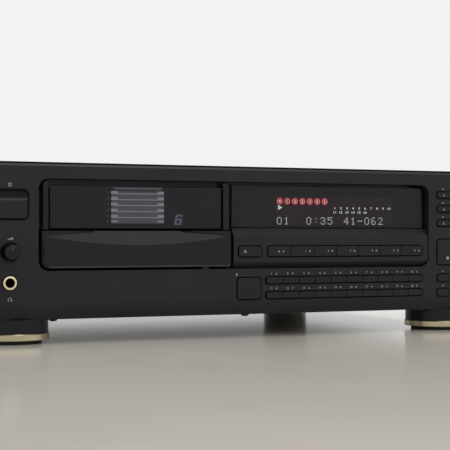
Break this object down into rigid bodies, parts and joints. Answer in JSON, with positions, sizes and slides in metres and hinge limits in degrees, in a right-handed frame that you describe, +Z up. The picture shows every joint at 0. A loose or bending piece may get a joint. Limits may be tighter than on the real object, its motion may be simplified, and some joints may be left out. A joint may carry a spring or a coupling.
{
  "type": "cd changer",
  "caption": "Full-width hi-fi disc changer: slide-out magazine behind a flap, single-disc drawer, display, key rows, level knob and ringed feet.",
  "frame": {"origin": "on the floor under the middle of the outline", "axes": "+X to the right of the front panel, -Y out of the front panel, +Z up"},
  "size_m": [0.44, 0.3854, 0.1331],
  "materials": {
    "panel_plastic": "fine-textured black moulding",
    "key_plastic": "satin black moulding",
    "front_gloss": "semi-gloss black moulding",
    "magazine_plastic": "black moulding",
    "carrier_plastic": "dark grey moulding",
    "drawer_plastic": "black moulding",
    "window_acrylic": "smoked acrylic",
    "tube_glass": "vacuum display glass",
    "cover_paint": "black baked enamel on steel",
    "chassis_steel": "zinc-plated sheet steel",
    "rear_paint": "black painted steel",
    "loader_plastic": "glass-filled black moulding",
    "board_laminate": "green circuit laminate",
    "part_plastic": "black component plastic",
    "motor_steel": "plated steel can",
    "transformer_iron": "varnished laminations",
    "gear_acetal": "natural acetal",
    "collar_gold": "gold-plated collar",
    "gland_rubber": "black rubber",
    "foot_plastic": "black moulding",
    "ring_aluminium": "gold-anodised turned aluminium",
    "pad_rubber": "black rubber",
    "screw_steel": "black-passivated steel"
  },
  "bodies": {
    "player": {"chassis_base": "chassis_steel", "rear_panel": "rear_paint", "top_cover": "cover_paint", "front_panel": "panel_plastic", "sub_panel": "panel_plastic", "door_frame": "front_gloss", "display_window": "window_acrylic", "display_tube": "tube_glass", "front_board": "board_laminate", "key_switches": "part_plastic", "main_board": "board_laminate", "capacitors": "part_plastic", "transformer": "transformer_iron", "headphone_jack": "part_plastic", "jack_collar": "collar_gold", "level_pot": "part_plastic", "output_jacks": "collar_gold", "mains_gland": "gland_rubber", "loader_frame": "loader_plastic", "lift_rods": "motor_steel", "drive_motors": "motor_steel", "foot_bodies": "foot_plastic", "foot_rings": "ring_aluminium", "foot_pads": "pad_rubber", "case_screws": "screw_steel"},
    "magazine": {"magazine_case": "magazine_plastic"},
    "flap": {"magazine_door": "front_gloss"},
    "drawer": {"disc_drawer": "drawer_plastic", "drawer_front": "front_gloss"},
    "single_carrier": {"single_tray": "carrier_plastic"},
    "pinion": {"drawer_pinion": "gear_acetal"},
    "lift": {"lift_frame": "loader_plastic", "spindle_motor": "motor_steel"},
    "lift_drive": {"lift_gear": "gear_acetal"},
    "pickup": {"pickup_sled": "part_plastic"},
    "table": {"turntable": "part_plastic"},
    "clamp": {"clamper": "part_plastic"},
    "knob": {"level_knob": "key_plastic"},
    "carrier_1": {"magazine_tray_1": "carrier_plastic"},
    "carrier_2": {"magazine_tray_2": "carrier_plastic"},
    "carrier_3": {"magazine_tray_3": "carrier_plastic"},
    "carrier_4": {"magazine_tray_4": "carrier_plastic"},
    "carrier_5": {"magazine_tray_5": "carrier_plastic"},
    "carrier_6": {"magazine_tray_6": "carrier_plastic"},
    "power_key_body": {"power_key": "key_plastic"},
    "eject_key_body": {"eject_key": "key_plastic"},
    "disc_key_1_body": {"disc_key_1": "key_plastic"},
    "disc_key_2_body": {"disc_key_2": "key_plastic"},
    "disc_key_3_body": {"disc_key_3": "key_plastic"},
    "disc_key_4_body": {"disc_key_4": "key_plastic"},
    "disc_key_5_body": {"disc_key_5": "key_plastic"},
    "disc_key_6_body": {"disc_key_6": "key_plastic"},
    "disc_key_7_body": {"disc_key_7": "key_plastic"},
    "open_key_body": {"open_key": "key_plastic"},
    "number_keys_upper_body": {"number_keys_upper": "key_plastic"},
    "number_keys_lower_body": {"number_keys_lower": "key_plastic"},
    "mode_keys_body": {"mode_keys": "key_plastic"},
    "function_keys_body": {"function_keys": "key_plastic"},
    "stop_key_body": {"stop_key": "key_plastic"},
    "play_key_body": {"play_key": "key_plastic"}
  },
  "joints": [
    {"name": "magazine_slide", "type": "slide", "parent": "player", "child": "magazine", "axis": [0, -1, 0], "range_m": [0, 0.088]},
    {"name": "flap_hinge", "type": "hinge", "parent": "player", "child": "flap", "pos_m": [-0.0949, -0.18005, 0.1146], "axis": [-1, 0, 0], "range_deg": [0, 110]},
    {"name": "drawer_slide", "type": "slide", "parent": "player", "child": "drawer", "axis": [0, -1, 0], "range_m": [0, 0.146]},
    {"name": "pinion_spin", "type": "hinge", "parent": "player", "child": "pinion", "pos_m": [-0.0325, -0.14765, 0.0476], "axis": [1, 0, 0], "range_deg": [-5, 845]},
    {"name": "single_tray_slide", "type": "slide", "parent": "drawer", "child": "single_carrier", "axis": [0, -1, 0], "range_m": [-0.165, 0]},
    {"name": "lift_slide", "type": "slide", "parent": "player", "child": "lift", "axis": [0, 0, 1], "range_m": [0, 0.044]},
    {"name": "lift_gear_spin", "type": "hinge", "parent": "player", "child": "lift_drive", "pos_m": [-0.0099, 0.11635, 0.0795], "axis": [0, 1, 0], "range_deg": [-5, 215]},
    {"name": "pickup_slide", "type": "slide", "parent": "lift", "child": "pickup", "axis": [0, 1, 0], "range_m": [0, 0.034]},
    {"name": "turntable_spin", "type": "hinge", "parent": "lift", "child": "table", "pos_m": [-0.0949, 0.06335, 0.06], "axis": [0, 0, 1], "continuous": true},
    {"name": "clamper_spin", "type": "hinge", "parent": "lift", "child": "clamp", "pos_m": [-0.0949, 0.06335, 0.0705], "axis": [0, 0, 1], "continuous": true},
    {"name": "level_knob_turn", "type": "hinge", "parent": "player", "child": "knob", "pos_m": [-0.1922, -0.18365, 0.0674], "axis": [0, -1, 0], "range_deg": [-140, 140]},
    {"name": "magazine_tray_1_slide", "type": "slide", "parent": "magazine", "child": "carrier_1", "axis": [0, -1, 0], "range_m": [-0.132, 0]},
    {"name": "magazine_tray_2_slide", "type": "slide", "parent": "magazine", "child": "carrier_2", "axis": [0, -1, 0], "range_m": [-0.132, 0]},
    {"name": "magazine_tray_3_slide", "type": "slide", "parent": "magazine", "child": "carrier_3", "axis": [0, -1, 0], "range_m": [-0.132, 0]},
    {"name": "magazine_tray_4_slide", "type": "slide", "parent": "magazine", "child": "carrier_4", "axis": [0, -1, 0], "range_m": [-0.132, 0]},
    {"name": "magazine_tray_5_slide", "type": "slide", "parent": "magazine", "child": "carrier_5", "axis": [0, -1, 0], "range_m": [-0.132, 0]},
    {"name": "magazine_tray_6_slide", "type": "slide", "parent": "magazine", "child": "carrier_6", "axis": [0, -1, 0], "range_m": [-0.132, 0]},
    {"name": "power_key_press", "type": "slide", "parent": "player", "child": "power_key_body", "axis": [0, 1, 0], "range_m": [0, 0.003], "stiffness_N_per_m": 700},
    {"name": "eject_key_press", "type": "slide", "parent": "player", "child": "eject_key_body", "axis": [0, 1, 0], "range_m": [0, 0.0008], "stiffness_N_per_m": 1600},
    {"name": "disc_key_1_press", "type": "slide", "parent": "player", "child": "disc_key_1_body", "axis": [0, 1, 0], "range_m": [0, 0.0008], "stiffness_N_per_m": 1600},
    {"name": "disc_key_2_press", "type": "slide", "parent": "player", "child": "disc_key_2_body", "axis": [0, 1, 0], "range_m": [0, 0.0008], "stiffness_N_per_m": 1600},
    {"name": "disc_key_3_press", "type": "slide", "parent": "player", "child": "disc_key_3_body", "axis": [0, 1, 0], "range_m": [0, 0.0008], "stiffness_N_per_m": 1600},
    {"name": "disc_key_4_press", "type": "slide", "parent": "player", "child": "disc_key_4_body", "axis": [0, 1, 0], "range_m": [0, 0.0008], "stiffness_N_per_m": 1600},
    {"name": "disc_key_5_press", "type": "slide", "parent": "player", "child": "disc_key_5_body", "axis": [0, 1, 0], "range_m": [0, 0.0008], "stiffness_N_per_m": 1600},
    {"name": "disc_key_6_press", "type": "slide", "parent": "player", "child": "disc_key_6_body", "axis": [0, 1, 0], "range_m": [0, 0.0008], "stiffness_N_per_m": 1600},
    {"name": "disc_key_7_press", "type": "slide", "parent": "player", "child": "disc_key_7_body", "axis": [0, 1, 0], "range_m": [0, 0.0008], "stiffness_N_per_m": 1600},
    {"name": "open_key_press", "type": "slide", "parent": "player", "child": "open_key_body", "axis": [0, 1, 0], "range_m": [0, 0.0008], "stiffness_N_per_m": 1600},
    {"name": "number_keys_upper_press", "type": "slide", "parent": "player", "child": "number_keys_upper_body", "axis": [0, 1, 0], "range_m": [0, 0.0008], "stiffness_N_per_m": 1600},
    {"name": "number_keys_lower_press", "type": "slide", "parent": "player", "child": "number_keys_lower_body", "axis": [0, 1, 0], "range_m": [0, 0.0008], "stiffness_N_per_m": 1600},
    {"name": "mode_keys_press", "type": "slide", "parent": "player", "child": "mode_keys_body", "axis": [0, 1, 0], "range_m": [0, 0.0008], "stiffness_N_per_m": 1600},
    {"name": "function_keys_press", "type": "slide", "parent": "player", "child": "function_keys_body", "axis": [0, 1, 0], "range_m": [0, 0.0008], "stiffness_N_per_m": 1600},
    {"name": "stop_key_press", "type": "slide", "parent": "player", "child": "stop_key_body", "axis": [0, 1, 0], "range_m": [0, 0.0008], "stiffness_N_per_m": 1600},
    {"name": "play_key_press", "type": "slide", "parent": "player", "child": "play_key_body", "axis": [0, 1, 0], "range_m": [0, 0.0008], "stiffness_N_per_m": 1600}
  ],
  "couplings": [
    {"joint": "flap_hinge", "follows": "magazine_slide", "rad_per_m": 21.817},
    {"joint": "pinion_spin", "follows": "drawer_slide", "rad_per_m": 100},
    {"joint": "lift_gear_spin", "follows": "lift_slide", "rad_per_m": 83.333},
    {"joint": "clamper_spin", "follows": "turntable_spin", "ratio": 1}
  ]
}
